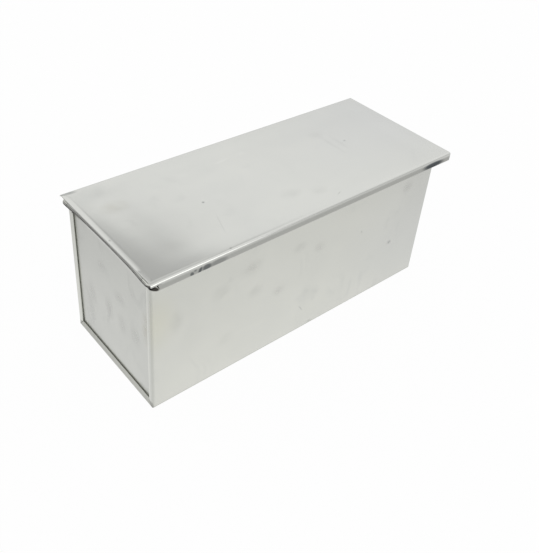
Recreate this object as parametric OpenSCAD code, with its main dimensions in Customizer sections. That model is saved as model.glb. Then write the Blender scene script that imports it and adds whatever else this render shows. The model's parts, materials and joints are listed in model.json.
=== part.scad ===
// Loaf pan of folded sheet metal, with a wired rim and a lid that slides on the rim.
// The origin is at the centre of the base, X runs along the pan, Y across it and Z up.
// The lid's hemmed end is at -X, and its plain end stands past the rim at +X.

/* [Pan] */
// Length of the pan over its end seams
pan_l = 300; // [200:1:400]
// Width of the pan over its long walls
pan_w = 115.6; // [80:0.2:160]
// Height of the top of the rim above the base
rim_h = 130.8; // [80:0.1:180]
// Thickness of the pan's sheet
sheet_t = 0.5; // [0.4:0.05:0.7]
// Outside radius of the bends between the base, the walls and the ends
bend_r = 1.2; // [1:0.1:1.6]

/* [End seams] */
// Width of the seam band up each side of an end
seam_w = 5.3; // [4.8:0.1:10]
// Width of the seam band along the foot of an end
seam_foot_w = 6.5; // [4.8:0.1:12]
// Gap between one layer of a seam and the next
seam_gap = 0.05; // [0.02:0.01:0.1]
// Gap between a layer's raw edge and the fold that it lies in
hook_gap = 0.1; // [0.1:0.05:0.4]
// Width of the slit in a mitred corner of the seam band
mitre_gap = 0.3; // [0.1:0.05:0.6]

/* [Rim] */
// Diameter of the rim wire
wire_d = 3.1; // [2.4:0.1:4]
// Gap between the wire and the sheet rolled round it
wire_gap = 0.05; // [0.02:0.01:0.1]
// How far the sheet is rolled round the wire, in degrees
curl_angle = 300; // [240:5:310]
// Gap between the end panel's rolled edge and the wrap's
curl_butt_gap = 0.3; // [0.1:0.05:1]
// Gap between the two butted ends of the wire
wire_butt_gap = 0.4; // [0.2:0.1:2]
// Height of the joggle that brings an end panel out to the rim
joggle_h = 3; // [2:0.25:8]
// Height from the top of the joggle to the underside of the bead
joggle_drop = 3.5; // [1:0.1:10]

/* [Lid] */
// Thickness of the lid's sheet
lid_t = 0.4; // [0.4:0.05:0.7]
// Gap between the hem's underside and the top of the rim
lid_seat_gap = 0.15; // [0.1:0.05:0.6]
// Gap between the bead and the inside of a channel, on each side
lid_side_gap = 2.55; // [0.5:0.05:5]
// Gap between the underside of the bead and a channel's lip
lip_gap = 2.7; // [0.4:0.05:3.5]
// Gap between the pan's wall and the edge of a channel's lip
lip_wall_gap = 1.2; // [0.6:0.1:2.5]
// Outside radius of a channel's upper fold
fold_r = 1.5; // [1:0.1:2.5]
// Outside radius of a channel's lower fold
lip_fold_r = 1; // [0.8:0.1:1.6]
// How far the hemmed end stops short of the outside of the bead
lid_inset = 0.8; // [0:0.1:3]
// How far the plain end stands past the outside of the bead
lid_overhang = 9.6; // [4:0.1:30]
// Width of the hem
hem_w = 3.2; // [2.4:0.1:8]
// How far the hem slopes down to its outer edge
hem_drop = 0.12; // [0:0.01:0.9]
// Gap between the two layers of the hem
hem_gap = 0.05; // [0.05:0.01:0.2]
// Length that the channels are cut back from the hemmed end, at their upper fold
channel_notch = 4.8; // [3.6:0.1:12]
// How much further back the same cut runs at their lips
notch_slant = 2.6; // [0:0.1:6]

/* [Hidden] */
$fn = 64;

// Colours of bright tinned sheet and of bare wire
sheet_colour = [0.77, 0.77, 0.75];
lid_colour = [0.83, 0.83, 0.82];
wire_colour = [0.55, 0.56, 0.57];

// Length that one shape reaches into its neighbour where they are one piece of metal
lap = 0.2;

half_l = pan_l / 2;
half_w = pan_w / 2;

// The rolled rim: the sheet's inner and outer radius round the wire, and the wire's place
curl_ri = wire_d / 2 + wire_gap;
curl_ro = curl_ri + sheet_t;
rim_z = rim_h - curl_ro;
bead_bottom_z = rim_h - 2 * curl_ro;
bead_reach = curl_ri + curl_ro;

// The lock seam has four layers, numbered from the outside: the wrap's band, the panel's hook,
// the wrap's return and the panel itself. Every depth is measured in from the end's outer face.
layer_pitch = sheet_t + seam_gap;
return_depth = 2 * layer_pitch;
panel_depth = 3 * layer_pitch;
hem_r = return_depth / 2 + sheet_t / 2;
hook_inset = sheet_t + seam_gap + hem_r;
joggle_top_z = bead_bottom_z - joggle_drop;
joggle_foot_z = joggle_top_z - joggle_h;
tab_half_w = half_w - seam_w - curl_butt_gap;

// The lid sits on its hem, whose sloping lower layer clears the rim by the seat gap at its outer fold.
// The lid's height is kept to a hundredth of a millimetre.
hem_fold_r = lid_t + hem_gap / 2;
hem_tilt = asin(hem_drop / hem_w);
hem_depth = (hem_w - hem_fold_r) * sin(hem_tilt) + hem_fold_r * (1 + cos(hem_tilt));
lid_top_z = floor(100 * (rim_h + lid_seat_gap + hem_depth)) / 100;
lid_half_w = half_w + bead_reach + lid_side_gap + lid_t;
lid_left_x = -(half_l + bead_reach - lid_inset);
lid_right_x = half_l + bead_reach + lid_overhang;
lip_z = bead_bottom_z - lip_gap - lid_t;
lip_edge_y = half_w + lip_wall_gap;
crease_x = lid_left_x + hem_w;
fold_start_y = lid_half_w - fold_r;

// A ring of sheet between two angles, counted from +X
module ring_sector(r_out, r_in, from, to) {
    steps = ceil((to - from) / 60);
    rays = [for (i = [0 : steps]) from + (to - from) * i / steps];
    intersection() {
        difference() {
            circle(r_out);
            circle(r_in);
        }
        polygon(concat([[0, 0]], [for (a = rays) 2 * r_out * [cos(a), sin(a)]]));
    }
}

// A rectangle given by its low and high corner
module span(low, high) {
    translate(low)
        square(high - low);
}

// Extrudes a section drawn across the pan along X, between two places
module along_x(from, to) {
    translate([from, 0, 0])
        rotate([90, 0, 90])
            linear_extrude(to - from)
                children();
}

// Extrudes a section drawn along the pan across it, to the same reach on both sides
module across_y(reach) {
    rotate([90, 0, 0])
        linear_extrude(2 * reach, center = true)
            children();
}

// A slab behind the +X end's outer face, from one depth to another, of an outline in Y and Z
module end_slab(from_depth, to_depth) {
    along_x(half_l - to_depth, half_l - from_depth)
        children();
}

// Keeps the child and adds its mirror image across the pan
module both_sides() {
    children();
    mirror([0, 1, 0])
        children();
}

// Keeps the child and adds its mirror image at the other end
module both_ends() {
    children();
    mirror([1, 0, 0])
        children();
}

// The rolled edge, with the wall's outer face on the Y axis and the wire's centre on the X axis
module curl_section() {
    translate([curl_ri, 0])
        ring_sector(curl_ro, curl_ri, 180 - curl_angle, 180);
}

// The corner of the seam band is cut along the line from the pan's corner to the window's corner.
// This is the side of the cut that belongs to the band up the side, or to the band at the foot.
module mitre_side(foot) {
    reach = 1.3;
    half_slit = mitre_gap / 2;
    diagonal = [-seam_w, seam_foot_w] / norm([seam_w, seam_foot_w]);
    shift = half_slit * (foot ? [-diagonal[1], diagonal[0]] : [diagonal[1], -diagonal[0]]);
    corner = [half_w, 0] + shift;
    inner = corner + reach * [-seam_w, seam_foot_w];
    if (foot)
        polygon([corner, inner, [0, inner[1]], [0, -1], [corner[0], -1]]);
    else
        polygon([corner, inner, [inner[0], rim_h], [half_w + 1, rim_h], [half_w + 1, corner[1]]]);
}

// Cuts the child to one side of the mitre
module mitred(foot) {
    intersection() {
        children();
        end_slab(-1, panel_depth + sheet_t + 1)
            mitre_side(foot);
    }
}

// The wrap's section across the pan: the base, one bend, one long wall and its rolled edge
module wrap_half_section() {
    span([0, 0], [half_w - bend_r, sheet_t]);
    translate([half_w - bend_r, bend_r])
        ring_sector(bend_r, bend_r - sheet_t, -90, 0);
    span([half_w - sheet_t, bend_r], [half_w, rim_z]);
    translate([half_w, rim_z])
        curl_section();
}

// The bends where one end of the base and of a long wall turns in to the seam
module wrap_corner() {
    translate([half_l - bend_r, half_w - bend_r, 0]) {
        translate([0, 0, bend_r])
            linear_extrude(rim_z - bend_r)
                ring_sector(bend_r, bend_r - sheet_t, 0, 90);
        translate([0, 0, bend_r])
            intersection() {
                difference() {
                    sphere(bend_r);
                    sphere(bend_r - sheet_t);
                }
                translate([0, 0, -bend_r])
                    cube(bend_r);
            }
        translate([0, 0, rim_z])
            rotate_extrude(angle = 90)
                translate([bend_r, 0])
                    curl_section();
    }
}

// The wrap's folded band up one side of an end, with its return behind it
module wrap_side_band() {
    fold_y = half_w - seam_w + hem_r;
    mitred(foot = false) {
        end_slab(0, sheet_t)
            span([fold_y, bend_r], [half_w - bend_r, rim_z]);
        translate([half_l - hem_r, fold_y, 0])
            linear_extrude(joggle_foot_z)
                ring_sector(hem_r, hem_r - sheet_t, 180, 360);
        end_slab(return_depth, return_depth + sheet_t)
            span([fold_y, bend_r], [half_w - hook_inset - hook_gap, joggle_foot_z]);
    }
    end_slab(0, sheet_t)
        span([half_w - seam_w, joggle_foot_z], [fold_y + lap, rim_z]);
    translate([half_l, half_w - seam_w, rim_z])
        rotate([90, 0, 0])
            mirror([0, 0, 1])
                linear_extrude(seam_w - bend_r)
                    curl_section();
}

// The wrap's folded band along half of the foot of an end, with its return behind it
module wrap_foot_band() {
    fold_z = seam_foot_w - hem_r;
    mitred(foot = true) {
        end_slab(0, sheet_t)
            span([0, bend_r], [half_w - bend_r, fold_z]);
        translate([half_l - hem_r, 0, fold_z])
            across_y(half_w)
                ring_sector(hem_r, hem_r - sheet_t, 0, 180);
        end_slab(return_depth, return_depth + sheet_t)
            span([0, hook_inset + hook_gap], [half_w - bend_r, fold_z]);
    }
}

// The wrap: the base, both long walls and both ends' seam bands, folded from one sheet
module pan_wrap() {
    color(sheet_colour) {
        both_sides()
            along_x(-(half_l - bend_r), half_l - bend_r)
                wrap_half_section();
        both_ends() {
            translate([half_l - bend_r, 0, bend_r])
                across_y(half_w - bend_r)
                    ring_sector(bend_r, bend_r - sheet_t, -90, 0);
            both_sides() {
                wrap_corner();
                wrap_side_band();
                wrap_foot_band();
            }
        }
    }
}

// An end panel's section along the pan, above the seam: the joggle, the rim's wall and the roll
module panel_top_section() {
    lean = atan(panel_depth / joggle_h);
    corner_rise = sheet_t * tan(lean / 2);
    outer = [[panel_depth, joggle_foot_z - lap], [panel_depth, joggle_foot_z], [0, joggle_top_z], [0, rim_z]];
    inner = [
        [sheet_t, rim_z],
        [sheet_t, joggle_top_z + corner_rise],
        [panel_depth + sheet_t, joggle_foot_z + corner_rise],
        [panel_depth + sheet_t, joggle_foot_z - lap]
    ];
    polygon([for (p = concat(outer, inner)) [half_l - p[0], p[1]]]);
    translate([half_l, rim_z])
        curl_section();
}

// The hook folded outwards along one side of an end panel, which lies inside the wrap's band
module panel_side_hook() {
    mitred(foot = false) {
        end_slab(layer_pitch, layer_pitch + sheet_t)
            span(
                [half_w - seam_w + hem_r + hook_gap, hook_inset],
                [half_w - hook_inset, joggle_foot_z]
            );
        translate([half_l - layer_pitch - hem_r, half_w - hook_inset, 0])
            linear_extrude(joggle_foot_z)
                ring_sector(hem_r, hem_r - sheet_t, 0, 180);
    }
}

// The hook folded outwards along half of the foot of an end panel
module panel_foot_hook() {
    mitred(foot = true) {
        end_slab(layer_pitch, layer_pitch + sheet_t)
            span([0, hook_inset], [half_w - hook_inset, seam_foot_w - hem_r - hook_gap]);
        translate([half_l - layer_pitch - hem_r, 0, hook_inset])
            across_y(half_w - hook_inset)
                ring_sector(hem_r, hem_r - sheet_t, 180, 360);
    }
}

// The end panel at +X
module end_panel() {
    color(sheet_colour) {
        end_slab(panel_depth, panel_depth + sheet_t)
            span([hook_inset - half_w, hook_inset], [half_w - hook_inset, joggle_foot_z]);
        across_y(tab_half_w)
            panel_top_section();
        both_sides() {
            panel_side_hook();
            panel_foot_hook();
        }
    }
}

module end_panel_right() {
    end_panel();
}

module end_panel_left() {
    mirror([1, 0, 0])
        end_panel();
}

// The wire inside the rolled rim, bent to a rectangle, with its ends butted on the far side
module rim_wire() {
    wire_r = wire_d / 2;
    run_x = half_l - bend_r;
    run_y = half_w - bend_r;
    color(wire_colour)
        translate([0, 0, rim_z])
            difference() {
                union() {
                    both_sides()
                        translate([-run_x, half_w + curl_ri, 0])
                            rotate([0, 90, 0])
                                cylinder(h = 2 * run_x, r = wire_r);
                    both_ends() {
                        translate([half_l + curl_ri, run_y, 0])
                            rotate([90, 0, 0])
                                cylinder(h = 2 * run_y, r = wire_r);
                        both_sides()
                            translate([run_x, run_y, 0])
                                rotate_extrude(angle = 90)
                                    translate([bend_r + curl_ri, 0])
                                        circle(wire_r);
                    }
                }
                translate([-wire_butt_gap / 2, half_w, -curl_ro])
                    cube([wire_butt_gap, 2 * curl_ro, 2 * curl_ro]);
            }
}

// The outline across the lid at one distance inside its outer faces, with its four folds round
module lid_outline(inset) {
    half = lid_half_w - inset;
    low = lip_z + inset;
    high = lid_top_z - inset;
    top_r = fold_r - inset;
    low_r = lip_fold_r - inset;
    span([low_r - half, low], [half - low_r, high - top_r]);
    span([top_r - half, low + low_r], [half - top_r, high]);
    span([-half, low + low_r], [half, high - top_r]);
    for (side = [-1, 1]) {
        translate([side * (half - top_r), high - top_r])
            circle(top_r);
        translate([side * (half - low_r), low + low_r])
            circle(low_r);
    }
}

// The sheet across the lid: the flat top, both upper folds, both channels and their lips
module lid_section() {
    difference() {
        lid_outline(0);
        lid_outline(lid_t);
        span([-lip_edge_y, lip_z - lap], [lip_edge_y, lip_z + lid_t + lap]);
    }
}

// What is cut from the channels at the hemmed end, seen from the side: all below the upper folds
module notch_outline() {
    notch_x = lid_left_x + channel_notch;
    polygon([
        [lid_left_x - lap, lid_top_z - fold_r],
        [notch_x, lid_top_z - fold_r],
        [notch_x + notch_slant, lip_z],
        [notch_x + notch_slant, lip_z - lap],
        [lid_left_x - lap, lip_z - lap]
    ]);
}

// The hem's section along the lid, with its crease at the origin and its top face at zero
module hem_section() {
    fold_x = hem_fold_r - hem_w;
    intersection() {
        rotate(hem_tilt) {
            span([fold_x, -lid_t], [lap, 0]);
            translate([fold_x, -hem_fold_r])
                ring_sector(hem_fold_r, hem_fold_r - lid_t, 90, 270);
            span([fold_x, -2 * hem_fold_r], [-hook_gap, lid_t - 2 * hem_fold_r]);
        }
        span([-2 * hem_w, -2 * hem_w], [lap, 0]);
    }
}

// The hem's outline from above, mitred at both ends, and half a slit clear of the mitre
module hem_outline(slit) {
    crease_reach = fold_start_y - hem_w - slit;
    edge_reach = fold_start_y - slit;
    outside = hem_w + lap;
    polygon([
        [crease_x + lap, -crease_reach + lap],
        [crease_x, -crease_reach],
        [crease_x - outside, -edge_reach - lap],
        [crease_x - outside, edge_reach + lap],
        [crease_x, crease_reach],
        [crease_x + lap, crease_reach - lap]
    ]);
}

// A prism that stands on the hem's outline, tall enough to take in the whole lid
module hem_prism(slit) {
    translate([0, 0, lip_z])
        linear_extrude(lid_top_z - lip_z + lap)
            hem_outline(slit);
}

// The lid, folded from one sheet
module lid() {
    color(lid_colour) {
        difference() {
            along_x(lid_left_x, lid_right_x)
                lid_section();
            across_y(lid_half_w + lap)
                notch_outline();
            hem_prism(-mitre_gap / 2);
        }
        intersection() {
            translate([crease_x, 0, lid_top_z])
                across_y(fold_start_y)
                    hem_section();
            hem_prism(mitre_gap / 2);
        }
    }
}

pan_wrap();
end_panel_left();
end_panel_right();
rim_wire();
lid();
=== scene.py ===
"""Lidded loaf pan of folded tinned sheet: its worked sheets, its finishes and the studio it stands in.

Every size is in metres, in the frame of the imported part. The origin is at the centre of the base, +X runs
along the pan towards the lid's plain end, +Y away from the long wall that the camera sees, and +Z up.
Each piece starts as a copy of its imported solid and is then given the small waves, bows and dents that
thin sheet takes in use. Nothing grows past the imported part.
"""

import json
import logging
import math
from collections.abc import Callable, Iterable
from dataclasses import dataclass, field
from enum import Enum
from functools import partial

import bpy
from mathutils import Matrix, Vector

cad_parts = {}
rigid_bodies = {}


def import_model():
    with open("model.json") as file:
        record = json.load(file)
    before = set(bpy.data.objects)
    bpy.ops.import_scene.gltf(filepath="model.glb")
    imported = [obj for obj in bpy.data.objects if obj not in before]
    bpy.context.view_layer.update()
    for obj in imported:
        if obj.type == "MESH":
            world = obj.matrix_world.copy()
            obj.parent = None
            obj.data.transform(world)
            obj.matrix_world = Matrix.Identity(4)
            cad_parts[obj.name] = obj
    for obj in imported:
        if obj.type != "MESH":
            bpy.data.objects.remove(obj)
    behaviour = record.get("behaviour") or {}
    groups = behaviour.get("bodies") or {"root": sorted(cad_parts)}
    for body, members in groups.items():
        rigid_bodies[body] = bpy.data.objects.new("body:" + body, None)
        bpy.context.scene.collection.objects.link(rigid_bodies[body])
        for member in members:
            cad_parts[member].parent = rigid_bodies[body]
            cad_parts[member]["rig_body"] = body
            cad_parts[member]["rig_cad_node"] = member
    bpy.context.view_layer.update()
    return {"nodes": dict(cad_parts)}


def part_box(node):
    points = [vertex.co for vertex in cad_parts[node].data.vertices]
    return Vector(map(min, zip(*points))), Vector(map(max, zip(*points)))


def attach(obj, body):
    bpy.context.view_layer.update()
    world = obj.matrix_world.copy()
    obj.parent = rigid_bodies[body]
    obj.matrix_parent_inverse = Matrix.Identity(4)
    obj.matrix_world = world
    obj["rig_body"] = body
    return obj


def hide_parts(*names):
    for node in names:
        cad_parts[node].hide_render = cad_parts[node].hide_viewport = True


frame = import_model()

log = logging.getLogger("loaf_pan")

MM = 0.001
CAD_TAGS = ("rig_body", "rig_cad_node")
MERGE_REACH = 0.001 * MM
FLAT_ANGLE = math.radians(0.3)
CREASE_ANGLE = math.radians(38.0)
WHITE = (1.0, 1.0, 1.0, 1.0)
ZERO = (0.0, 0.0, 0.0)

Socket = bpy.types.NodeSocket
Rule = Callable[[Vector], float]
Pair = tuple[float, float]
Triple = tuple[float, float, float]


def clear_selection() -> None:
    """Leaves object mode and deselects everything."""
    if bpy.context.mode != "OBJECT":
        bpy.ops.object.mode_set(mode="OBJECT")
    bpy.ops.object.select_all(action="DESELECT")


def select_only(piece: bpy.types.Object) -> None:
    """Makes one object the only one that is selected, and the active one."""
    clear_selection()
    piece.select_set(True)
    bpy.context.view_layer.objects.active = piece


def fade(value: float, start: float, end: float) -> float:
    """Rises smoothly from 0 to 1.

    Args:
        value: the value that is read.
        start: the value at which the result is still 0.
        end: the value at which the result is 1; it may be less than start.

    Returns:
        The share, from 0 to 1.
    """
    share = min(1.0, max(0.0, (value - start) / (end - start)))
    return share * share * (3.0 - 2.0 * share)


def near_middle(value: float, half: float, soft: float) -> float:
    """Gives 1 in the middle of a span about 0, falling smoothly to 0 over the soft part at each end."""
    return fade(abs(value), half, half - soft)


def steps(low: float, high: float, spacing: float) -> list[float]:
    """Spreads places evenly from low to high, about as far apart as the spacing says."""
    count = max(1, round((high - low) / spacing))
    return [low + (high - low) * index / count for index in range(count + 1)]


class Axis(Enum):
    """The frame's axes, each by its direction."""

    X = (1.0, 0.0, 0.0)
    Y = (0.0, 1.0, 0.0)
    Z = (0.0, 0.0, 1.0)


@dataclass(frozen=True)
class Waves:
    """The slow waves that a flat panel of thin sheet always has."""

    length: float
    depth: float
    middle: float = 0.5

    def texture(self, name: str) -> bpy.types.Texture:
        """Builds the field that the waves follow.

        Args:
            name: the name of the piece they are for.

        Returns:
            A procedural cloud texture.
        """
        clouds = bpy.data.textures.new(f"{name}_waves", type="CLOUDS")
        clouds.noise_scale = self.length
        clouds.noise_depth = 1
        return clouds


class SheetWork:
    """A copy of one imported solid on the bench, ready to be cut into a grid, pushed about and smoothed."""

    def __init__(self, node: str) -> None:
        """Copies the solid and merges its loose triangles into clean faces.

        Args:
            node: the name of the solid that the piece is made from and stands for.
        """
        self.node = node
        select_only(frame["nodes"][node])
        bpy.ops.object.duplicate()
        self.piece = bpy.context.active_object
        bpy.ops.object.parent_clear(type="CLEAR_KEEP_TRANSFORM")
        self.piece.name = f"{node}_sheet"
        for tag in CAD_TAGS:
            if tag in self.piece:
                del self.piece[tag]
        bpy.ops.object.mode_set(mode="EDIT")
        bpy.ops.mesh.select_all(action="SELECT")
        bpy.ops.mesh.customdata_custom_splitnormals_clear()
        bpy.ops.mesh.remove_doubles(threshold=MERGE_REACH)
        bpy.ops.mesh.dissolve_limited(angle_limit=FLAT_ANGLE)
        bpy.ops.object.mode_set(mode="OBJECT")
        self.note_true_places()

    def note_true_places(self) -> None:
        """Notes where each point lies before anything is pushed, for the rules to read."""
        self.true_places = [point.co.copy() for point in self.piece.data.vertices]

    def cut(self, direction: Vector, places: Iterable[float]) -> None:
        """Cuts the mesh along parallel planes and leaves it in one piece; all cuts come before any push.

        Args:
            direction: the planes' normal, of length 1.
            places: how far along the normal each plane lies from the origin.
        """
        bpy.ops.object.mode_set(mode="EDIT")
        for place in places:
            bpy.ops.mesh.select_all(action="SELECT")
            bpy.ops.mesh.bisect(plane_co=direction * place, plane_no=direction)
        bpy.ops.object.mode_set(mode="OBJECT")
        self.note_true_places()

    def grid(self, axis: Axis, low: float, high: float, spacing: float) -> None:
        """Cuts the mesh across an axis at even steps from low to high."""
        self.cut(Vector(axis.value), steps(low, high, spacing))

    def push(self, axis: Axis, amount: float, rule: Rule, waves: Waves | None = None) -> None:
        """Moves points along an axis, each by its own share.

        Args:
            axis: the axis that they move along.
            amount: how far a point with a share of 1 moves.
            rule: gives each point's share from its true place.
            waves: waves that vary the push, if any; amount is then their whole depth.
        """
        reach = self.piece.vertex_groups.new(name="reach")
        for index, place in enumerate(self.true_places):
            share = rule(place)
            if share > 0.0:
                reach.add([index], share, "REPLACE")
        select_only(self.piece)
        bpy.ops.object.modifier_add(type="DISPLACE")
        pusher = self.piece.modifiers[-1]
        pusher.direction = axis.name
        pusher.vertex_group = reach.name
        pusher.strength = amount
        pusher.mid_level = 0.0
        if waves is not None:
            pusher.texture = waves.texture(self.node)
            pusher.texture_coords = "LOCAL"
            pusher.mid_level = waves.middle
        bpy.ops.object.modifier_apply(modifier=pusher.name)
        self.piece.vertex_groups.clear()

    def finish(self, body: str, slot: str, material: bpy.types.Material) -> bpy.types.Object:
        """Smooths the piece, dresses it and puts it in its solid's place.

        Args:
            body: the body that it moves with.
            slot: the name of a material slot; not used.
            material: its finish.

        Returns:
            The finished piece.
        """
        select_only(self.piece)
        bpy.ops.object.shade_smooth_by_angle(angle=CREASE_ANGLE)
        bpy.ops.object.modifier_add(type="WEIGHTED_NORMAL")
        flattener = self.piece.modifiers[-1]
        flattener.keep_sharp = True
        bpy.ops.object.modifier_apply(modifier=flattener.name)
        self.piece.data.materials.clear()
        self.piece.data.materials.append(material)
        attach(self.piece, body)
        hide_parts(self.node)
        log.info("%s: %d faces, on %s", self.piece.name, len(self.piece.data.polygons), body)
        return self.piece


class NodeBench:
    """Adds shader nodes to one tree and links them."""

    def __init__(self, tree: bpy.types.NodeTree) -> None:
        """Takes the node tree of a material, a world or a group to work on."""
        self.tree = tree

    def add(
        self, kind: str, given: dict[str | int, object] | None = None, **settings: object
    ) -> bpy.types.Node:
        """Adds a node.

        Args:
            kind: the node's type, such as ShaderNodeMath.
            given: what its inputs get, by name or place: a socket, a number or a tuple of numbers each.
            **settings: attributes set on the node.

        Returns:
            The new node.
        """
        node = self.tree.nodes.new(kind)
        for name, value in settings.items():
            setattr(node, name, value)
        for key, value in (given or {}).items():
            if isinstance(value, Socket):
                self.join(value, node.inputs[key])
            else:
                node.inputs[key].default_value = value
        return node

    def effect(self, group: bpy.types.NodeTree, given: dict[str, object]) -> bpy.types.Node:
        """Adds a shared node group, with what its inputs get."""
        return self.add("ShaderNodeGroup", given, node_tree=group)

    def join(self, source: Socket, target: Socket) -> None:
        """Links an output to an input."""
        self.tree.links.new(source, target)

    def math(self, operation: str, *values: object, clamp: bool = False) -> Socket:
        """Adds a Math node.

        Args:
            operation: the node's operation, such as MULTIPLY.
            *values: its inputs in order, each a socket or a number.
            clamp: whether the result is held between 0 and 1.

        Returns:
            The node's output.
        """
        given = dict(enumerate(values))
        return self.add("ShaderNodeMath", given, operation=operation, use_clamp=clamp).outputs[0]

    def times(self, first: object, second: object) -> Socket:
        """Multiplies two values."""
        return self.math("MULTIPLY", first, second)

    def ramp(
        self,
        value: object,
        low: float,
        high: float,
        start: float = 0.0,
        end: float = 1.0,
        smooth: bool = True,
    ) -> Socket:
        """Turns a value steadily from one level to another.

        Args:
            value: the value that is read.
            low: the value at which the result is start.
            high: the value at which the result is end.
            start: the result below low.
            end: the result above high.
            smooth: whether the change eases in and out.

        Returns:
            The result.
        """
        given = {"Value": value, "From Min": low, "From Max": high, "To Min": start, "To Max": end}
        course = "SMOOTHSTEP" if smooth else "LINEAR"
        return self.add("ShaderNodeMapRange", given, interpolation_type=course).outputs["Result"]

    def blend(self, amount: object, first: object, second: object) -> Socket:
        """Mixes two values, with the second one's share from 0 to 1 as the amount."""
        return self.add("ShaderNodeMix", {0: amount, 2: first, 3: second}, data_type="FLOAT").outputs[0]

    def noise(
        self, vector: object, scale: object, detail: float, roughness: float, distortion: float = 0.0
    ) -> Socket:
        """Adds a noise texture and returns its value.

        Args:
            vector: where the noise is read.
            scale: how many features there are in a metre.
            detail: the number of octaves.
            roughness: how strong the finer octaves are.
            distortion: how far the noise folds over itself.

        Returns:
            The noise, about 0.5 on average.
        """
        given = {"Vector": vector, "Scale": scale, "Detail": detail}
        given |= {"Roughness": roughness, "Distortion": distortion}
        return self.add("ShaderNodeTexNoise", given, noise_dimensions="3D").outputs["Fac"]

    def mapped(
        self,
        vector: object,
        scale: Triple,
        turn: Triple = ZERO,
        shift: Triple = ZERO,
        course: str = "POINT",
    ) -> Socket:
        """Stretches, turns and shifts a vector.

        Args:
            vector: the vector that is read.
            scale: the factor along each axis.
            turn: the turn about each axis, in degrees.
            shift: the shift along each axis.
            course: POINT, or TEXTURE to undo the same stretch, turn and shift.

        Returns:
            The new vector.
        """
        given = {"Vector": vector, "Location": shift, "Scale": scale}
        given["Rotation"] = tuple(map(math.radians, turn))
        return self.add("ShaderNodeMapping", given, vector_type=course).outputs["Vector"]

    def distance(self, vector: object, centre: Triple, reach: Triple, turn: Triple) -> Socket:
        """Measures how far a place is from the middle of a turned ellipsoid, on which the distance is 1."""
        given = {0: self.mapped(vector, reach, turn, centre, "TEXTURE")}
        return self.add("ShaderNodeVectorMath", given, operation="LENGTH").outputs["Value"]

    def split(self, vector: Socket) -> bpy.types.Node:
        """Splits a vector into its X, Y and Z outputs."""
        return self.add("ShaderNodeSeparateXYZ", {"Vector": vector})

    def tint(self, amount: object, colour: object, other: Triple, blend: str = "MIX") -> Socket:
        """Mixes two colours.

        Args:
            amount: how much of the second colour, from 0 to 1.
            colour: the first colour, a socket or four numbers.
            other: the second colour.
            blend: the way in which they are mixed.

        Returns:
            The mixed colour.
        """
        given = {0: amount, 6: colour, 7: (*other, 1.0)}
        return self.add("ShaderNodeMix", given, data_type="RGBA", blend_type=blend).outputs[2]


def fresh_bench(owner: bpy.types.Material | bpy.types.World) -> NodeBench:
    """Clears the nodes of a material or a world and returns a bench for them."""
    owner.use_nodes = True
    owner.node_tree.nodes.clear()
    return NodeBench(owner.node_tree)


class EffectGroup:
    """A shader node group under construction, with its named sockets."""

    def __init__(
        self, name: str, values: dict[str, float], outputs: tuple[str, ...], normal: bool = False
    ) -> None:
        """Starts the group.

        Args:
            name: the group's name.
            values: each plain input's name and its default number.
            outputs: the names of the outputs, all plain values.
            normal: whether the group also takes the surface's normal.
        """
        self.tree = bpy.data.node_groups.new(name, "ShaderNodeTree")
        new_socket = self.tree.interface.new_socket
        for vector_name in ("Vector", "Normal") if normal else ("Vector",):
            new_socket(name=vector_name, in_out="INPUT", socket_type="NodeSocketVector")
        for socket_name, default in values.items():
            socket = new_socket(name=socket_name, in_out="INPUT", socket_type="NodeSocketFloat")
            socket.default_value = default
        for socket_name in outputs:
            new_socket(name=socket_name, in_out="OUTPUT", socket_type="NodeSocketFloat")
        self.bench = NodeBench(self.tree)
        self.given = self.bench.add("NodeGroupInput").outputs
        self.result = self.bench.add("NodeGroupOutput").inputs


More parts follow.
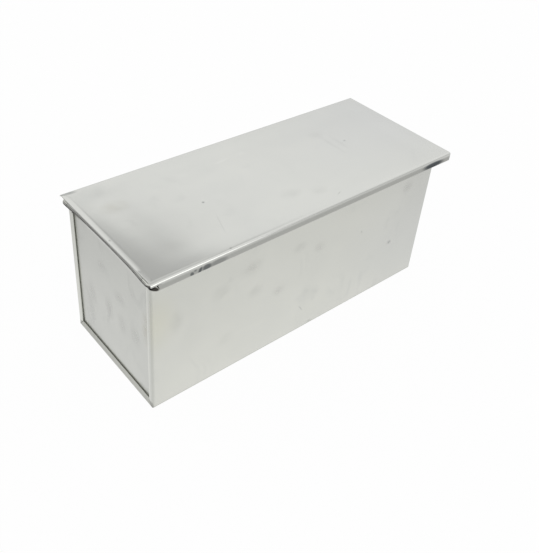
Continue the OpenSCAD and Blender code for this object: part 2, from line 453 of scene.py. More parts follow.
class SharedEffects:
    """The node groups that the sheets and the wire have in common."""

    smudge_edge = 0.18
    speck_size: Pair = (0.02, 0.075)
    speck_chance: Pair = (0.80, 0.83)
    scratch_width = 0.012
    # Which faces take the painted shade and dirt under the rim, and how soft its height edge is.
    shade_dirt_facing: Pair = (0.62, 0.05)
    shade_dirt_edge = 0.6 * MM

    def __init__(self) -> None:
        """Builds each group once."""
        self.rolling_grain = self._rolling_grain()
        self.handling_marks = self._handling_marks()
        self.sheet_relief = self._sheet_relief()
        self.rim_grime = self._rim_shade_and_dirt()

    def _rolling_grain(self) -> bpy.types.NodeTree:
        """Builds the fine lines that rolling leaves along the sheet, and the tin's soft bloom over them.

        Returns:
            A group with the outputs Grain and Bloom.
        """
        group = EffectGroup("rolling_grain", {"Grain Scale": 900.0, "Bloom Scale": 14.0}, ("Grain", "Bloom"))
        bench = group.bench
        vector = group.given["Vector"]
        bloom_scale = group.given["Bloom Scale"]
        rolled = bench.mapped(vector, (0.06, 1.0, 1.0))
        grain = bench.noise(rolled, group.given["Grain Scale"], 2.0, 0.55)
        broad = bench.noise(vector, bloom_scale, 4.0, 0.55, 0.6)
        leaning = bench.mapped(vector, (0.35, 1.6, 1.0), (0.0, 0.0, 24.0))
        streaks = bench.noise(leaning, bloom_scale, 5.0, 0.62)
        mixed = bench.math("ADD", bench.times(broad, 0.6), bench.times(streaks, 0.4))
        bench.join(bench.ramp(grain, 0.25, 0.75), group.result["Grain"])
        bench.join(bench.ramp(mixed, 0.32, 0.68), group.result["Bloom"])
        return group.tree

    def _handling_marks(self) -> bpy.types.NodeTree:
        """Builds the marks of handling: soft smudges, small specks and hair scratches.

        Returns:
            A group with the outputs Smudge, Speck and Scratch.
        """
        group = EffectGroup(
            "handling_marks",
            {"Smudge Scale": 45.0, "Smudge Cover": 0.4, "Speck Scale": 60.0, "Scratch Scale": 30.0},
            ("Smudge", "Speck", "Scratch"),
        )
        bench = group.bench
        vector = group.given["Vector"]
        leaning = bench.mapped(vector, (1.0, 1.0, 0.55), (0.0, 18.0, 0.0))
        blotch = bench.noise(leaning, group.given["Smudge Scale"], 4.0, 0.6, 0.8)
        edge = bench.math("SUBTRACT", 1.0, group.given["Smudge Cover"])
        smudge = bench.math("DIVIDE", bench.math("SUBTRACT", blotch, edge), self.smudge_edge, clamp=True)
        bench.join(smudge, group.result["Smudge"])

        given = {"Vector": vector, "Scale": group.given["Speck Scale"]}
        cells = bench.add("ShaderNodeTexVoronoi", given, feature="F1")
        small = bench.ramp(cells.outputs["Distance"], *self.speck_size, 1.0, 0.0)
        chance = bench.add("ShaderNodeSeparateColor", {"Color": cells.outputs["Color"]})
        chosen = bench.ramp(chance.outputs["Red"], *self.speck_chance)
        bench.join(bench.times(small, chosen), group.result["Speck"])

        lines = []
        for turn, stretch in (((12.0, 8.0, 27.0), 0.05), ((-20.0, 33.0, -41.0), 0.04)):
            drawn = bench.mapped(vector, (stretch, 1.0, 1.0), turn)
            given = {"Vector": drawn, "Scale": group.given["Scratch Scale"]}
            web = bench.add("ShaderNodeTexVoronoi", given, feature="DISTANCE_TO_EDGE")
            thin = bench.ramp(web.outputs["Distance"], 0.0, self.scratch_width, 1.0, 0.0)
            broken = bench.ramp(bench.noise(vector, 38.0, 1.0, 0.5), 0.6, 0.7)
            lines.append(bench.times(thin, broken))
        bench.join(bench.math("MAXIMUM", *lines), group.result["Scratch"])
        return group.tree

    def _sheet_relief(self) -> bpy.types.NodeTree:
        """Builds the height of the sheet's small ripples and of its grain.

        Returns:
            A group with the output Height, in metres.
        """
        group = EffectGroup(
            "sheet_relief",
            {"Ripple Scale": 26.0, "Ripple Depth": 0.04 * MM, "Grain": 0.5, "Grain Depth": 0.002 * MM},
            ("Height",),
        )
        bench = group.bench
        ripple = bench.noise(group.given["Vector"], group.given["Ripple Scale"], 2.0, 0.4)
        ripples = bench.times(ripple, group.given["Ripple Depth"])
        grains = bench.times(group.given["Grain"], group.given["Grain Depth"])
        bench.join(bench.math("ADD", ripples, grains), group.result["Height"])
        return group.tree

    def _rim_shade_and_dirt(self) -> bpy.types.NodeTree:
        """Builds the painted shade under the rolled rim, together with the baked-on dirt that gathers there.

        Returns:
            A group with the output Shade Dirt: 1 where a surface between two heights looks aside or down.
        """
        group = EffectGroup("rim_grime", {"Foot": 0.0, "Head": 1.0}, ("Grime",), normal=True)
        bench = group.bench
        facing = bench.split(group.given["Normal"]).outputs["Z"]
        height = bench.split(group.given["Vector"]).outputs["Z"]
        down = bench.ramp(facing, *self.shade_dirt_facing)
        over_foot = bench.math("SUBTRACT", height, group.given["Foot"])
        above = bench.ramp(over_foot, -self.shade_dirt_edge, self.shade_dirt_edge)
        below = bench.math("LESS_THAN", height, group.given["Head"])
        band = bench.times(above, below)
        patchy = bench.ramp(bench.noise(group.given["Vector"], 120.0, 3.0, 0.6), 0.25, 0.55, 0.7, 1.0)
        shade_dirt_cover = bench.times(bench.times(down, band), patchy)
        bench.join(shade_dirt_cover, group.result["Grime"])
        return group.tree


@dataclass(frozen=True)
class MarkLook:
    """What a kind of mark does to the metal under it."""

    colour: Triple
    core: float
    roughness: float
    broken: bool


class MarkKind(Enum):
    """The kinds of mark on the sheets, painted shade and painted reflection among them."""

    SMUDGE = MarkLook((0.91, 0.91, 0.91), 0.0, 0.08, True)
    STAIN = MarkLook((0.90, 0.88, 0.84), 0.0, 0.08, True)
    GLOW = MarkLook((1.015, 1.005, 0.95), 0.0, 0.02, False)
    # Painted shade: a cooler, slightly darker tone.
    COOL = MarkLook((0.972, 0.974, 0.998), 0.0, 0.0, False)
    # Dark spots; the same darkening also serves as painted shade on two corners.
    SPOT = MarkLook((0.66, 0.67, 0.68), 0.2, 0.10, False)
    SCRATCH = MarkLook((0.74, 0.75, 0.75), 0.2, 0.05, False)
    # Darkens and dulls a band: painted contact shade along the feet, and the lower part of each lid
    # channel's wall.
    WORN = MarkLook((0.66, 0.66, 0.65), 0.52, 0.20, False)
    # Painted reflection of dark things in the dents of the near channel's wall.
    TARNISH = MarkLook((0.18, 0.20, 0.23), 0.5, 0.10, False)
    # Painted shade in the hollow under the lid's near left corner.
    GRIME = MarkLook((0.07, 0.065, 0.06), 0.6, 0.20, False)


@dataclass(frozen=True)
class Mark:
    """One mark at a place on a sheet, in millimetres and degrees."""

    kind: MarkKind
    centre: Triple
    reach: Triple
    strength: float = 1.0
    turn: Triple = ZERO

    def mask(self, bench: NodeBench, place: object, broken: object) -> Socket:
        """Builds how strongly the mark covers a place.

        Args:
            bench: the bench of the material's tree.
            place: the place on the piece.
            broken: a noise that eats into the mark.

        Returns:
            The cover, from 0 to 1.
        """
        centre = tuple(MM * number for number in self.centre)
        reach = tuple(MM * number for number in self.reach)
        away = bench.distance(place, centre, reach, self.turn)
        cover = bench.ramp(away, self.kind.value.core, 1.0, self.strength, 0.0)
        return bench.times(cover, broken) if self.kind.value.broken else cover


class Face(Enum):
    """The marked faces, by the axis that each stands across, its place on it and its marks' depth."""

    END = (0, -148.5, 3.0)
    SIDE = (1, -57.8, 3.0)
    CHANNEL = (1, -64.6, 1.1)
    LID = (2, 131.9, 3.0)

    def mark(
        self,
        kind: MarkKind,
        along: float,
        up: float,
        half_long: float,
        half_high: float,
        strength: float = 1.0,
        lean: float = 0.0,
    ) -> Mark:
        """Places a mark on the face.

        Args:
            kind: the kind of mark.
            along: the middle's place on the face's first axis.
            up: the middle's place on its second axis, which is +Y for the lid and +Z for the others.
            half_long: half the mark's size along the first axis.
            half_high: half its size along the second axis.
            strength: how strong it is.
            lean: its turn about the axis that the face stands across, in degrees.

        Returns:
            The mark.
        """
        across, place, depth = self.value
        centre, reach, turn = [along, up], [half_long, half_high], [0.0, 0.0]
        for numbers, number in ((centre, place), (reach, depth), (turn, lean)):
            numbers.insert(across, number)
        return Mark(kind, tuple(centre), tuple(reach), strength, tuple(turn))

    def marks(self, kind: MarkKind, *places: tuple[float, ...]) -> tuple[Mark, ...]:
        """Places marks of one kind on the face, each by what mark takes after the kind."""
        return tuple(self.mark(kind, *place) for place in places)


# Painted shade: the dark hollow under the lid's near left corner, on the long wall and on the end.
UNDER_LID_CORNER_SHADE = Mark(MarkKind.GRIME, (-149.6, -58.6, 123.8), (7.5, 6.5, 3.4), 0.95)
SIDE_MARKS = (
    UNDER_LID_CORNER_SHADE,
    # Painted shade along the lower edge of that hollow.
    Mark(MarkKind.GRIME, (-146.6, -57.9, 120.6), (6.2, 5.0, 2.0), 1.0, (0.0, 36.6, 0.0)),
    # Painted shade down the near left corner's vertical bend.
    Mark(MarkKind.SPOT, (-150.0, -56.8, 62.0), (3.2, 3.8, 400.0), 0.45),
    # Painted contact shade along the feet of the ends and of the long walls.
    *(Mark(MarkKind.WORN, (end, 0.0, 2.0), (2.0, 400.0, 6.0), 0.9) for end in (-150.6, 150.6)),
    *(Mark(MarkKind.WORN, (0.0, side, 0.0), (900.0, 3.5, 2.0), 0.8) for side in (-57.0, 57.0)),
    Face.SIDE.mark(MarkKind.GLOW, -146.0, 86.0, 24.0, 38.0),
    *Face.SIDE.marks(
        MarkKind.SMUDGE,
        (-58.0, 97.0, 15.0, 10.0),
        (-53.0, 71.0, 10.0, 9.0, 0.9),
        (-28.0, 60.0, 10.0, 8.0, 0.8),
        (-88.0, 87.0, 12.0, 10.0, 0.8),
        (-128.0, 80.0, 10.0, 16.0, 0.8),
        (-81.0, 36.0, 12.0, 9.0, 0.7),
        (-9.0, 95.0, 10.0, 8.0, 0.8),
        (14.0, 86.0, 10.0, 8.0, 0.8),
        (119.0, 107.0, 10.0, 9.0),
    ),
    Face.SIDE.mark(MarkKind.SPOT, 108.0, 50.0, 3.4, 3.2, 0.7),
    # Painted shade: the long wall's right end cooler and a little darker.
    Face.SIDE.mark(MarkKind.COOL, 150.0, 60.0, 130.0, 120.0),
    Face.SIDE.mark(MarkKind.SPOT, 13.0, 3.0, 4.0, 1.4, 0.6),
    Face.SIDE.mark(MarkKind.SCRATCH, 0.5, 24.5, 7.0, 0.7, 0.7, 57.5),
)
END_MARKS = (
    # Painted shade under the lid's near left corner.
    UNDER_LID_CORNER_SHADE,
    *Face.END.marks(
        MarkKind.SMUDGE,
        (32.0, 55.0, 10.0, 17.0),
        (5.0, 58.0, 9.0, 17.0),
        (-14.0, 55.0, 10.0, 15.0, 0.9),
        (-34.0, 55.0, 10.0, 16.0),
        (-12.0, 79.0, 11.0, 10.0),
        (12.0, 93.0, 12.0, 9.0, 0.9),
    ),
    Face.END.mark(MarkKind.STAIN, -49.0, 76.0, 8.0, 26.0),
    Face.END.mark(MarkKind.SPOT, -55.6, 49.0, 1.8, 4.0, 0.8),
)
LID_MARKS = (
    # Painted shade: the lid's right end cooler and a little darker.
    Face.LID.mark(MarkKind.COOL, 165.0, 20.0, 170.0, 110.0),
    # Painted shade on the lid's far left corner, where the mitre and the far fold face away.
    Face.LID.mark(MarkKind.SPOT, -147.0, 62.0, 8.5, 2.6, 0.9, -8.0),
    Face.LID.mark(MarkKind.SPOT, -68.0, -5.0, 1.8, 1.8, 0.8),
    Face.LID.mark(MarkKind.SMUDGE, -2.0, -34.0, 15.0, 9.0, 0.6),
    Face.LID.mark(MarkKind.SMUDGE, 20.0, -43.0, 12.0, 8.0, 0.6),
    Face.LID.mark(MarkKind.STAIN, -127.0, 27.0, 17.0, 12.0, 0.6),
    Face.LID.mark(MarkKind.SCRATCH, 31.0, -55.0, 4.0, 0.6, 0.7, 20.0),
    Face.LID.mark(MarkKind.SPOT, 96.0, 4.5, 2.0, 1.2, 0.7),
    Face.LID.mark(MarkKind.SMUDGE, 80.0, 26.0, 13.0, 9.0, 0.6),
    Face.LID.mark(MarkKind.SMUDGE, 81.0, 3.0, 4.0, 28.0, 0.4),
    Face.LID.mark(MarkKind.SMUDGE, 90.0, 1.0, 3.5, 28.0, 0.35),
    Face.LID.mark(MarkKind.SCRATCH, -73.0, -34.0, 20.0, 0.5, 0.3, 69.8),
    # Darkens and dulls the lower part of each channel's wall.
    *(Mark(MarkKind.WORN, (5.0, side, 125.4), (900.0, 1.1, 4.6)) for side in (-64.6, 64.6)),
    # Painted reflection: dark patches where the near channel's dents mirror dark things.
    *Face.CHANNEL.marks(
        MarkKind.TARNISH,
        (-119.8, 125.4, 2.1, 2.4, 0.72, -35.0),
        (-116.9, 127.2, 1.7, 1.3, 0.5),
        (-112.7, 125.8, 1.9, 3.8, 0.82, 30.0),
        (-107.2, 126.0, 5.2, 3.6, 0.74),
        (-96.6, 126.0, 9.6, 3.4, 0.36),
        (140.5, 126.6, 17.5, 3.8, 1.0),
    ),
)


@dataclass(frozen=True)
class MetalFinish:
    """A bright metal's colour, gloss and marks."""

    name: str
    colour: Triple
    bloom_colour: Triple
    smudge_colour: Triple
    roughness: float
    roughness_spread: float
    smudge_cover: float = 0.42
    smudge_strength: float = 0.5
    smudge_roughness: float = 0.12
    speck_strength: float = 0.5
    speck_shade: float = 0.45
    scratch_strength: float = 0.4
    scratch_shine: float = 1.08
    # Painted shade under the rolled rim, with the dirt that gathers there: its colour, strength, roughness
    # and heights.
    shade_dirt_colour: Triple = (0.045, 0.042, 0.04)
    shade_dirt_strength: float = 0.0
    shade_dirt_roughness: float = 0.25
    shade_dirt_heights: Pair = (125.4 * MM, 131.2 * MM)
    marks: tuple[Mark, ...] = ()

    def build(self, effects: SharedEffects) -> bpy.types.Material:
        """Builds the material.

        Args:
            effects: the node groups that the finishes share.

        Returns:
            The finished material.
        """
        material = bpy.data.materials.new(self.name)
        bench = fresh_bench(material)
        place = bench.add("ShaderNodeTexCoord").outputs["Object"]
        grain = bench.effect(effects.rolling_grain, {"Vector": place})
        bloom = grain.outputs["Bloom"]
        handled = bench.effect(effects.handling_marks, {"Vector": place, "Smudge Cover": self.smudge_cover})
        relief = bench.effect(effects.sheet_relief, {"Vector": place, "Grain": grain.outputs["Grain"]})

        colour = bench.tint(bloom, (*self.colour, 1.0), self.bloom_colour)
        smudged = bench.times(handled.outputs["Smudge"], self.smudge_strength)
        colour = bench.tint(smudged, colour, self.smudge_colour)
        for effect, strength, factor in (
            ("Speck", self.speck_strength, self.speck_shade),
            ("Scratch", self.scratch_strength, self.scratch_shine),
        ):
            amount = bench.times(handled.outputs[effect], strength)
            colour = bench.tint(amount, colour, tuple(factor * channel for channel in self.colour))
        spread = bench.math("MULTIPLY_ADD", bloom, self.roughness_spread, self.roughness)
        rough = bench.math("MULTIPLY_ADD", smudged, self.smudge_roughness, spread)
        colour, rough = self.marked(bench, place, colour, rough)
        # Painted shade and dirt under the rolled rim.
        if self.shade_dirt_strength > 0.0:
            foot, head = self.shade_dirt_heights
            normal = bench.add("ShaderNodeNewGeometry").outputs["Normal"]
            given = {"Vector": place, "Normal": normal, "Foot": foot, "Head": head}
            shade_dirt_cover = bench.effect(effects.rim_grime, given)
            shade_dirt_amount = bench.times(shade_dirt_cover.outputs["Grime"], self.shade_dirt_strength)
            colour = bench.tint(shade_dirt_amount, colour, self.shade_dirt_colour)
            rough = bench.math("MULTIPLY_ADD", shade_dirt_amount, self.shade_dirt_roughness, rough)

        height = {"Strength": 1.0, "Distance": 1.0, "Height": relief.outputs["Height"]}
        normal = bench.add("ShaderNodeBump", height).outputs["Normal"]
        given = {"Metallic": 1.0, "Base Color": colour, "Roughness": rough, "Normal": normal}
        shader = bench.add("ShaderNodeBsdfPrincipled", given)
        bench.add("ShaderNodeOutputMaterial", {"Surface": shader.outputs["BSDF"]})
        return material

    def marked(
        self, bench: NodeBench, place: object, colour: object, rough: object
    ) -> tuple[Socket, Socket]:
        """Lays the finish's own marks over its colour and its roughness.

        Args:
            bench: the bench of the material's tree.
            place: the place on the piece.
            colour: the colour without the marks.
            rough: the roughness without the marks.

        Returns:
            The colour and the roughness with the marks.
        """
        broken = bench.ramp(bench.noise(place, 95.0, 3.0, 0.6), 0.32, 0.66, 0.4, 1.0)
        for mark in self.marks:
            cover = mark.mask(bench, place, broken)
            look = mark.kind.value
            colour = bench.tint(cover, colour, look.colour, "MULTIPLY")
            rough = bench.math("MULTIPLY_ADD", cover, look.roughness, rough)
        return colour, rough


SIDE_FINISH = MetalFinish(
    name="pan_side_tinned_sheet",
    colour=(0.664, 0.668, 0.622),
    bloom_colour=(0.640, 0.646, 0.604),
    smudge_colour=(0.52, 0.53, 0.51),
    roughness=0.19,
    roughness_spread=0.05,
    smudge_strength=0.3,
    scratch_strength=0.15,
    shade_dirt_strength=0.95,
    marks=SIDE_MARKS,
)
# The ends take the long walls' tinned sheet painted darker, as painted shade for ends that face away from
# the light.
SHADED_END_FINISH = MetalFinish(
    name="pan_end_tinned_sheet",
    colour=(0.556, 0.561, 0.530),
    bloom_colour=(0.534, 0.541, 0.512),
    smudge_colour=(0.46, 0.465, 0.445),
    roughness=0.20,
    roughness_spread=0.05,
    smudge_strength=0.6,
    shade_dirt_strength=0.95,
    marks=END_MARKS,
)
LID_FINISH = MetalFinish(
    name="lid_tinned_sheet",
    colour=(0.688, 0.694, 0.662),
    bloom_colour=(0.668, 0.676, 0.648),
    smudge_colour=(0.60, 0.61, 0.59),
    roughness=0.11,
    roughness_spread=0.03,
    smudge_strength=0.22,
    marks=LID_MARKS,
)
WIRE_FINISH = MetalFinish(
    name="drawn_steel_wire",
    colour=(0.42, 0.43, 0.44),
    bloom_colour=(0.36, 0.37, 0.38),
    smudge_colour=(0.25, 0.25, 0.26),
    roughness=0.34,
    roughness_spread=0.1,
    shade_dirt_strength=0.9,
)


@dataclass(frozen=True)
class RimSway:
    """How far the rolled rim has strayed from true.

    It is bowed inward along each end, and it hangs a little low round the two corners at the left.
    """

    left_bow: float = 0.9 * MM
    right_bow: float = 0.4 * MM
    bow_half_span: float = 50.0 * MM
    end_from: float = 140.0 * MM
    foot: float = 118.0 * MM
    head: float = 126.0 * MM
    corner_drop: float = 1.2 * MM
    corner_flare: float = 1.0 * MM
    corner_across: Pair = (36.0 * MM, 58.0 * MM)
    corner_along: Pair = (132.0 * MM, 149.0 * MM)

    def bow(self, side: float, point: Vector) -> float:
        """Gives a point's share of the bow at one end.

        Args:
            side: -1 for the left end and 1 for the right end.
            point: the point's true place.

        Returns:
            The share, from 0 to 1.
        """
        if point.x * side < self.end_from:
            return 0.0
        middle = max(0.0, 1.0 - (point.y / self.bow_half_span) ** 2)
        return middle * fade(point.z, self.foot, self.head)

    def corner(self, point: Vector) -> float:
        """Gives a point's share of the drop at the left corners."""
        across = fade(abs(point.y), *self.corner_across)
        along = fade(-point.x, *self.corner_along)
        return across * along * fade(point.z, self.foot, self.head)

    def flare(self, side: float, point: Vector) -> float:
        """Gives a point's share of the lean at one left corner, -1 for the near and 1 for the far one."""
        return self.corner(point) if point.y * side > 0.0 else 0.0

    def bend(self, work: SheetWork) -> None:
        """Bends a piece as the rim has bent.

        Args:
            work: the piece on the bench.
        """
        work.push(Axis.X, self.left_bow, partial(self.bow, -1.0))
        work.push(Axis.X, -self.right_bow, partial(self.bow, 1.0))
        work.push(Axis.Z, -self.corner_drop, self.corner)
        for side in (-1.0, 1.0):
            work.push(Axis.Y, self.corner_flare * side, partial(self.flare, side))


@dataclass(frozen=True)
class WallBand:
    """The heights between which a wall's sheet is free to wave, away from the base and the rim."""

    low: float = 6.0 * MM
    high: float = 117.0 * MM
    low_soft: float = 20.0 * MM
    high_soft: float = 15.0 * MM

    def share(self, height: float) -> float:
        """Gives how free the sheet is at a height."""
        foot = fade(height, self.low, self.low + self.low_soft)
        return foot * fade(height, self.high, self.high - self.high_soft)


RIM_SWAY = RimSway()
WALL_BAND = WallBand()


@dataclass
class PanWrap:
    """The long sheet that makes the two long walls and the base."""

    grid: float = 5.0 * MM
    grid_x: float = 140.0 * MM
    soft_x: float = 20.0 * MM
    grid_y: float = 50.0 * MM
    soft_y: float = 15.0 * MM
    wall_from: float = 56.0 * MM
    wall_waves: Waves = Waves(75.0 * MM, 0.5 * MM)
    base_waves: Waves = Waves(60.0 * MM, 0.25 * MM, 0.0)
    base_top: float = 1.5 * MM

    def wall_share(self, point: Vector) -> float:
        """Gives a point's share of the long walls' waves."""
        if abs(point.y) < self.wall_from:
            return 0.0
        return WALL_BAND.share(point.z) * near_middle(point.x, self.grid_x, self.soft_x)

    def base_share(self, point: Vector) -> float:
        """Gives a point's share of the base's waves."""
        if point.z > self.base_top:
            return 0.0
        across = near_middle(point.y, self.grid_y, self.soft_y)
        return across * near_middle(point.x, self.grid_x, self.soft_x)

    def build(self, finish: bpy.types.Material) -> None:
        """Makes the piece.

        Args:
            finish: the long walls' finish.
        """
        work = SheetWork("pan_wrap")
        work.grid(Axis.X, -self.grid_x, self.grid_x, self.grid)
        work.grid(Axis.Z, WALL_BAND.low, WALL_BAND.high, self.grid)
        work.grid(Axis.Y, -self.grid_y, self.grid_y, 2.0 * self.grid)
        work.push(Axis.Y, self.wall_waves.depth, self.wall_share, self.wall_waves)
        work.push(Axis.Z, self.base_waves.depth, self.base_share, self.base_waves)
        RIM_SWAY.bend(work)
        work.finish("pan", "pan_sheet", finish)


@dataclass
class EndPanel:
    """One of the two end sheets, with its folded seams and its stretch of the rolled rim."""

    node: str
    grid: float = 5.0 * MM
    grid_y: float = 50.0 * MM
    soft_y: float = 18.0 * MM
    waves: Waves = Waves(60.0 * MM, 0.5 * MM)

    def share(self, point: Vector) -> float:
        """Gives a point's share of the panel's waves."""
        return WALL_BAND.share(point.z) * near_middle(point.y, self.grid_y, self.soft_y)

    def build(self, finish: bpy.types.Material) -> None:
        """Makes the piece.

        Args:
            finish: the ends' finish, darkened as painted shade.
        """
        work = SheetWork(self.node)
        work.grid(Axis.Y, -self.grid_y, self.grid_y, self.grid)
        work.grid(Axis.Z, WALL_BAND.low, WALL_BAND.high, self.grid)
        work.push(Axis.X, self.waves.depth, self.share, self.waves)
        RIM_SWAY.bend(work)
        work.finish("pan", "pan_sheet", finish)


@dataclass
class RimWire:
    """The stiffening wire inside the rolled rim, which has bent with it."""

    grid: float = 5.0 * MM
    grid_y: float = 50.0 * MM
    grid_x: Pair = (125.0 * MM, 147.0 * MM)

    def build(self, finish: bpy.types.Material) -> None:
        """Makes the piece.

        Args:
            finish: the wire's finish.
        """
        work = SheetWork("rim_wire")
        work.grid(Axis.Y, -self.grid_y, self.grid_y, self.grid)
        work.grid(Axis.X, -self.grid_x[1], -self.grid_x[0], self.grid)
        RIM_SWAY.bend(work)
        work.finish("pan", "rim_wire", finish)


@dataclass
class Dent:
    """A shallow dent in the lid's near channel wall."""

    x: float
    z: float
    wide: float
    high: float

    def share(self, point: Vector) -> float:
        """Gives a point's share of the dent."""
        away = math.hypot((point.x - self.x) / self.wide, (point.z - self.z) / self.high)
        return fade(away, 1.0, 0.0)


@dataclass
class Lid:
    """The sliding lid: a flat sheet with a channel along each side and a hem at its left end."""

    low: Vector = field(default_factory=lambda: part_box("lid")[0])
    high: Vector = field(default_factory=lambda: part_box("lid")[1])
    grid: float = 4.5 * MM
    grid_margin: float = 2.0 * MM
    hem_width: float = 3.2 * MM
    hem_droop: float = 0.25 * MM
    hem_cut_y: float = -48.8 * MM
    hem_cut_step: float = 0.15 * MM
    hem_far_corner: Pair = (57.5 * MM, 60.5 * MM)
    past_cut: float = 0.45
    fold_width: float = 4.0 * MM
    fold_radius: float = 1.5 * MM
    fold_softening: float = 1.5 * MM
    fold_soft_to: Pair = (165.0 * MM, 90.0 * MM)
    web_cuts: Pair = (124.8 * MM, 128.4 * MM)
    web_grid: float = 1.2 * MM
    web_skin: float = 1.2 * MM
    top_skin: float = 1.0 * MM
    waves: Waves = Waves(80.0 * MM, 0.3 * MM, 1.0)
    waves_start: Pair = (3.0 * MM, 28.0 * MM)
    waves_end: Pair = (4.0 * MM, 26.0 * MM)
    waves_soft_y: float = 20.0 * MM
    dents: tuple[Dent, ...] = (
        Dent(-111.0 * MM, 127.0 * MM, 13.0 * MM, 3.4 * MM),
        Dent(139.0 * MM, 127.2 * MM, 18.0 * MM, 3.4 * MM),
    )
    dent_depth: float = 0.3 * MM

    @property
    def crease(self) -> float:
        """Where the hem's strip starts."""
        return self.low.x + self.hem_width

    def top_share(self, point: Vector) -> float:
        """Gives a point's share of the flat top's waves."""
        if point.z < self.high.z - self.top_skin:
            return 0.0
        along = fade(point.x - self.crease, *self.waves_start)
        along *= fade(self.high.x - point.x, *self.waves_end)
        return along * near_middle(point.y, self.high.y - self.fold_width, self.waves_soft_y)

    def past_mitre(self, point: Vector) -> float:
        """Gives how far a point lies past the mitred cut at the hem's near end."""
        return ((self.crease - point.x) + (self.hem_cut_y - point.y)) / math.sqrt(2.0)

    def hem_share(self, point: Vector) -> float:
        """Gives a point's share of the hem's slope, which all but ends at the mitred cut."""
        if point.x >= self.crease:
            return 0.0
        outward = (self.crease - point.x) / self.hem_width
        kept = 1.0 - (1.0 - self.past_cut) * fade(self.past_mitre(point), 0.0, self.hem_cut_step)
        return outward * kept * fade(point.y, *reversed(self.hem_far_corner))

    def fold_turn(self, point: Vector) -> float:
        """Gives how far the near fold has turned down at a point, in radians, or -1 off the fold."""
        out = -point.y - (self.high.y - self.fold_radius)
        up = point.z - (self.high.z - self.fold_radius)
        if out < -MERGE_REACH or up < -MERGE_REACH:
            return -1.0
        return math.atan2(max(out, 0.0), max(up, 0.0))

    def fold_share(self, part: Callable[[float], float], point: Vector) -> float:
        """Gives a point's share of the near fold's widening: inward by sine, downward by cosine."""
        turn = self.fold_turn(point)
        return 0.0 if turn < 0.0 else (1.0 - part(turn)) * fade(point.x, *self.fold_soft_to)

    def dent_share(self, point: Vector) -> float:
        """Gives a point's share of the dents in the near channel's wall."""
        if point.y > self.low.y + self.web_skin:
            return 0.0
        return max(dent.share(point) for dent in self.dents)

    def build(self, finish: bpy.types.Material) -> None:
        """Makes the piece.

        Args:
            finish: the lid's finish.
        """
        work = SheetWork("lid")
        inner = self.high.y - self.fold_width
        work.grid(Axis.X, self.crease + self.grid_margin, self.high.x - self.grid_margin, self.grid)
        work.grid(Axis.Y, -inner, inner, self.grid)
        work.grid(Axis.Z, *self.web_cuts, self.web_grid)
        across = Vector((-1.0, -1.0, 0.0)).normalized()
        mitre = -(self.crease + self.hem_cut_y) / math.sqrt(2.0)
        work.cut(across, (mitre, mitre + self.hem_cut_step))
        work.push(Axis.Z, self.waves.depth, self.top_share, self.waves)
        work.push(Axis.Z, -self.hem_droop, self.hem_share)
        work.push(Axis.Y, self.fold_softening, partial(self.fold_share, math.sin))
        work.push(Axis.Z, -self.fold_softening, partial(self.fold_share, math.cos))
        work.push(Axis.Y, self.dent_depth, self.dent_share)
        work.finish("lid", "lid_sheet", finish)


@dataclass(frozen=True)
class CameraPlace:
    """Where the camera stands, and its lens."""

    azimuth: float = -42.941
    elevation: float = 34.966
    roll: float = 5.209
    distance: float = 679.82 * MM
    pan: Pair = (12.38 * MM, 75.75 * MM)
    lens: float = 47.391
    sensor_width: float = 36.0
    shift_up: float = -0.1166
    clip_start: float = 10.0 * MM

    def add(self) -> bpy.types.Object:
        """Creates the scene's camera.

        Returns:
            The camera's object.
        """
        turn = math.radians(self.azimuth)
        rise = math.radians(self.elevation)
        lean = math.radians(self.roll)
        back = Vector((math.sin(turn) * math.cos(rise), -math.cos(turn) * math.cos(rise), math.sin(rise)))
        level_right = Vector((0.0, 0.0, 1.0)).cross(back).normalized()
        level_up = back.cross(level_right)
        right = math.cos(lean) * level_right + math.sin(lean) * level_up
        up = -math.sin(lean) * level_right + math.cos(lean) * level_up
        place = back * self.distance + right * self.pan[0] + up * self.pan[1]

        clear_selection()
        bpy.ops.object.camera_add(location=place)
        camera = bpy.context.active_object
        camera.name = "photo_camera"
        camera.matrix_world = Matrix.Translation(place) @ Matrix((right, up, back)).transposed().to_4x4()
        camera.data.lens = self.lens
        camera.data.sensor_width = self.sensor_width
        camera.data.shift_y = self.shift_up
        camera.data.clip_start = self.clip_start
        bpy.context.scene.camera = camera
        return camera


@dataclass(frozen=True)
class SkyPatch:
    """A part of the room with a light of its own and soft edges, by heights and bearings in degrees.

    Its foot, if it has one, rises by lean for each degree of bearing past lean_from.
    """

    light: float
    near: Pair
    far: Pair
    top: Pair
    foot: Pair | None = None
    lean: float = 0.0
    lean_from: float = 0.0

    def over(self, bench: NodeBench, height: object, bearing: object, level: object) -> Socket:
        """Lays the patch over the light round it.

        Args:
            bench: the bench of the world's tree.
            height: the direction's height.
            bearing: the direction's bearing.
            level: the light without the patch.

        Returns:
            The light with the patch.
        """
        cover = bench.ramp(height, *self.top, 1.0, 0.0)
        if self.foot is not None:
            rise = bench.times(bench.math("SUBTRACT", bearing, self.lean_from), self.lean)
            over_foot = bench.ramp(bench.math("SUBTRACT", height, rise), *self.foot)
            cover = bench.times(over_foot, cover)
        cover = bench.times(cover, bench.ramp(bearing, *self.near))
        cover = bench.times(cover, bench.ramp(bearing, *self.far, 1.0, 0.0))
        return bench.blend(cover, level, self.light)


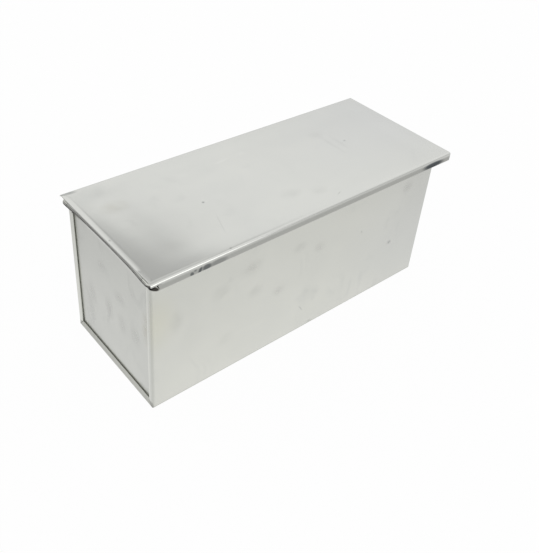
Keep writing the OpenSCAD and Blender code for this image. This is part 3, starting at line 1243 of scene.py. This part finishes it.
@dataclass(frozen=True)
class SkyLight:
    """The light that the studio sends from each direction, for all but the camera.

    A white sweep stands round the pan. It is whitest a third of the way up and greyer low down and overhead.
    Behind the pan's hemmed end a sector of the room is dark. A bright window stands low in front, and a grey
    panel with a leaning foot hangs on one side. Heights and bearings are in degrees, a bearing turns from +Y
    towards +X, and each pair is the start and the end of a soft change.
    """

    horizon: float = 0.66
    sweep_low: float = 0.88
    sweep_high: float = 1.0
    overhead: float = 0.68
    sweep_foot: Pair = (4.0, 23.0)
    sweep_rise: Pair = (23.0, 34.0)
    overhead_foot: Pair = (52.0, 58.0)
    panel: SkyPatch = SkyPatch(
        light=0.54,
        near=(20.0, 25.0),
        far=(52.0, 64.0),
        top=(43.0, 47.0),
        foot=(35.7, 37.1),
        lean=0.25,
        lean_from=29.0,
    )
    window: SkyPatch = SkyPatch(light=1.8, near=(144.0, 152.0), far=(157.0, 163.0), top=(15.0, 24.0))
    sector: float = 0.38
    sector_bearing: float = -40.0
    sector_width: Pair = (14.0, 26.0)
    sector_top: Pair = (22.0, 36.0)

    def build(self) -> bpy.types.World:
        """Builds the world.

        Returns:
            The scene's world.
        """
        world = bpy.data.worlds.new("pale_studio")
        bench = fresh_bench(world)
        direction = bench.split(bench.add("ShaderNodeTexCoord").outputs["Generated"])
        height = bench.math("DEGREES", bench.math("ARCSINE", direction.outputs["Z"]))
        turned = bench.math("ARCTAN2", direction.outputs["X"], direction.outputs["Y"])
        bearing = bench.math("DEGREES", turned)

        level = bench.ramp(height, *self.sweep_foot, self.horizon, self.sweep_low)
        from_sector = bench.math("ABSOLUTE", bench.math("SUBTRACT", bearing, self.sector_bearing))
        inside = bench.ramp(from_sector, *self.sector_width, 1.0, 0.0)
        inside = bench.times(inside, bench.ramp(height, *self.sector_top, 1.0, 0.0))
        level = bench.blend(inside, level, bench.math("MINIMUM", level, self.sector))
        outside = bench.math("SUBTRACT", 1.0, inside)
        rise = bench.times(bench.ramp(height, *self.sweep_rise), outside)
        level = bench.blend(rise, level, self.sweep_high)
        for patch in (self.window, self.panel):
            level = patch.over(bench, height, bearing, level)
        level = bench.blend(bench.ramp(height, *self.overhead_foot), level, self.overhead)

        studio = bench.add("ShaderNodeBackground", {"Color": WHITE, "Strength": level})
        white = bench.add("ShaderNodeBackground", {"Color": WHITE})
        seen = bench.add("ShaderNodeLightPath").outputs["Is Camera Ray"]
        given = {0: seen, 1: studio.outputs["Background"], 2: white.outputs["Background"]}
        mix = bench.add("ShaderNodeMixShader", given)
        bench.add("ShaderNodeOutputWorld", {"Surface": mix.outputs["Shader"]})
        bpy.context.scene.world = world
        return world


@dataclass(frozen=True)
class LightPool:
    """The pale floor as the metal mirrors it: a pool of light that fades with distance from its middle."""

    middle: Triple = (-40.0 * MM, -20.0 * MM, 0.0)
    reach: Triple = (1.0, 1.0 / 1.8, 1.0)
    near: float = 1.12
    fade_to: float = 0.80
    fade_end: float = 0.50
    far: float = 0.72
    far_from: float = 0.55
    far_end: float = 1.0

    def level(self, bench: NodeBench, place: object) -> Socket:
        """Builds the pool's level at a place.

        Args:
            bench: the bench of the floor's tree.
            place: the place on the floor.

        Returns:
            The level, where 1 is white.
        """
        away = bench.distance(place, self.middle, self.reach, ZERO)
        pool = bench.ramp(away, 0.0, self.fade_end, self.near, self.fade_to, smooth=False)
        return bench.blend(bench.ramp(away, self.far_from, self.far_end), pool, self.far)


@dataclass
class Studio:
    """The camera, the world that gives all the light, and the pale floor."""

    camera: CameraPlace = CameraPlace()
    sky: SkyLight = SkyLight()
    pool: LightPool = LightPool()
    floor_half: float = 3.0
    floor_colour: Triple = (0.86, 0.86, 0.86)
    seen_white: float = 0.97
    mirrored_white: float = 0.88

    def build(self) -> None:
        """Builds the whole studio."""
        bpy.context.scene.view_settings.view_transform = "Standard"
        self.camera.add()
        self.sky.build()
        self.floor()

    def floor(self) -> bpy.types.Object:
        """Lays the floor under the pan.

        Returns:
            The floor's object.
        """
        clear_selection()
        bpy.ops.mesh.primitive_plane_add(size=2.0 * self.floor_half, location=(0.0, 0.0, 0.0))
        floor = bpy.context.active_object
        floor.name = "studio_floor"
        floor.data.materials.append(self.floor_material())
        return floor

    def floor_material(self) -> bpy.types.Material:
        """Builds the pale floor, lifted to white where it is seen or mirrored, with the shadow kept.

        Returns:
            The floor's material.
        """
        material = bpy.data.materials.new("pale_floor")
        bench = fresh_bench(material)
        matt = bench.add("ShaderNodeBsdfDiffuse", {"Color": (*self.floor_colour, 1.0)})
        path = bench.add("ShaderNodeLightPath")
        mirrored = bench.math("MAXIMUM", path.outputs["Is Glossy Ray"], path.outputs["Is Transmission Ray"])
        pool = self.pool.level(bench, bench.add("ShaderNodeTexCoord").outputs["Object"])
        glow = bench.add("ShaderNodeEmission", {"Strength": bench.blend(mirrored, 1.0, pool)})
        seen = bench.times(path.outputs["Is Camera Ray"], self.seen_white)
        share = bench.math("ADD", seen, bench.times(mirrored, self.mirrored_white), clamp=True)
        given = {0: share, 1: matt.outputs["BSDF"], 2: glow.outputs["Emission"]}
        mix = bench.add("ShaderNodeMixShader", given)
        bench.add("ShaderNodeOutputMaterial", {"Surface": mix.outputs["Shader"]})
        return material


def main() -> None:
    """Builds the studio and the pan in order."""
    logging.basicConfig(level=logging.INFO, format="%(message)s")
    Studio().build()
    effects = SharedEffects()
    shaded_end_finish = SHADED_END_FINISH.build(effects)
    PanWrap().build(SIDE_FINISH.build(effects))
    for node in ("end_panel_left", "end_panel_right"):
        EndPanel(node).build(shaded_end_finish)
    RimWire().build(WIRE_FINISH.build(effects))
    Lid().build(LID_FINISH.build(effects))


if __name__ == "__main__":
    main()
